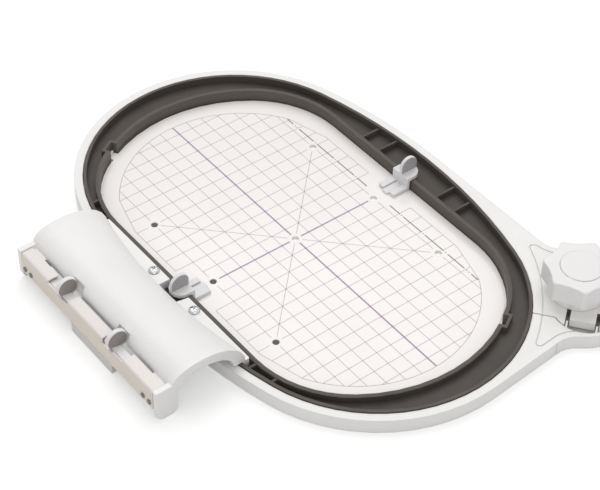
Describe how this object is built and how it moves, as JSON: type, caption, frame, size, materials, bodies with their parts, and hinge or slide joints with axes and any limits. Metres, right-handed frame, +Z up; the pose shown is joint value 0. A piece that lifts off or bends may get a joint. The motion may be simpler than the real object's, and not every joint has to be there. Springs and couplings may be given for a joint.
{
  "type": "machine embroidery hoop",
  "caption": "Oval machine embroidery hoop: dark inner hoop with a side coupling for the machine arm, pale split outer hoop with a twist lock, and a clear gridded template held by clips.",
  "frame": {"origin": "centre of the bounding box in plan, on the table plane under the hoops", "axes": "+X across the hoop, away from the machine coupling; +Y along the hoop, away from the twist lock; +Z up"},
  "size_m": [0.279, 0.3364, 0.0302],
  "materials": {
    "outer_plastic": "fine-textured off-white moulding",
    "knob_plastic": "fine-textured pale grey moulding",
    "inner_plastic": "fine-textured dark brown-grey moulding",
    "template_sheet": "clear sheet with a thin printed grid",
    "clip_plastic": "pale grey moulding with a grained finger face",
    "cover_plastic": "smooth off-white moulding",
    "base_plastic": "mid grey moulding",
    "grip_plastic": "off-white moulding with a grained finger face",
    "cam_plastic": "smooth natural acetal",
    "rail_metal": "satin nickel-beige finish",
    "screw_chrome": "polished domed heads",
    "fastener_steel": "bright zinc",
    "latch_steel": "cold-rolled sheet",
    "spring_steel": "drawn wire"
  },
  "bodies": {
    "outer_hoop": {"outer_ring": "outer_plastic", "lock_collar": "outer_plastic", "collar_screw_1": "fastener_steel", "collar_screw_2": "fastener_steel", "cam_pin_rear": "fastener_steel", "cam_pin_front": "fastener_steel"},
    "inner_hoop": {"inner_ring": "inner_plastic", "coupling_cover": "cover_plastic", "flange_screw_rear": "screw_chrome", "flange_screw_front": "screw_chrome", "coupling_rail": "rail_metal", "rail_rivet_rear_1": "fastener_steel", "rail_rivet_rear_2": "fastener_steel", "rail_rivet_front_1": "fastener_steel", "rail_rivet_front_2": "fastener_steel", "coupling_base": "base_plastic", "base_screw_rear": "fastener_steel", "base_screw_front": "fastener_steel", "grip_spring_rear": "spring_steel", "grip_spring_front": "spring_steel"},
    "template": {"template": "template_sheet", "clip_left": "clip_plastic", "clip_right": "clip_plastic"},
    "grip_rear": {"grip_rear": "grip_plastic", "latch_rear": "latch_steel"},
    "grip_front": {"grip_front": "grip_plastic", "latch_front": "latch_steel"},
    "knob": {"twist_knob": "knob_plastic", "knob_cap": "knob_plastic", "knob_screw": "fastener_steel", "cam_disc": "cam_plastic"}
  },
  "joints": [
    {"name": "inner_hoop_lift", "type": "slide", "parent": "outer_hoop", "child": "inner_hoop", "axis": [0, 0, 1], "range_m": [0, 0.06]},
    {"name": "template_lift", "type": "slide", "parent": "inner_hoop", "child": "template", "axis": [0, 0, 1], "range_m": [0, 0.04]},
    {"name": "grip_rear_squeeze", "type": "slide", "parent": "inner_hoop", "child": "grip_rear", "axis": [0, -1, 0], "range_m": [0, 0.0045], "stiffness_N_per_m": 400, "springref_m": -0.002, "deforming": ["grip_spring_rear"]},
    {"name": "grip_front_squeeze", "type": "slide", "parent": "inner_hoop", "child": "grip_front", "axis": [0, 1, 0], "range_m": [0, 0.0045], "stiffness_N_per_m": 400, "springref_m": -0.002, "deforming": ["grip_spring_front"]},
    {"name": "knob_twist", "type": "hinge", "parent": "outer_hoop", "child": "knob", "pos_m": [0.10409, -0.13271, 0.0159], "axis": [0, 0, 1], "range_deg": [0, 120]}
  ]
}
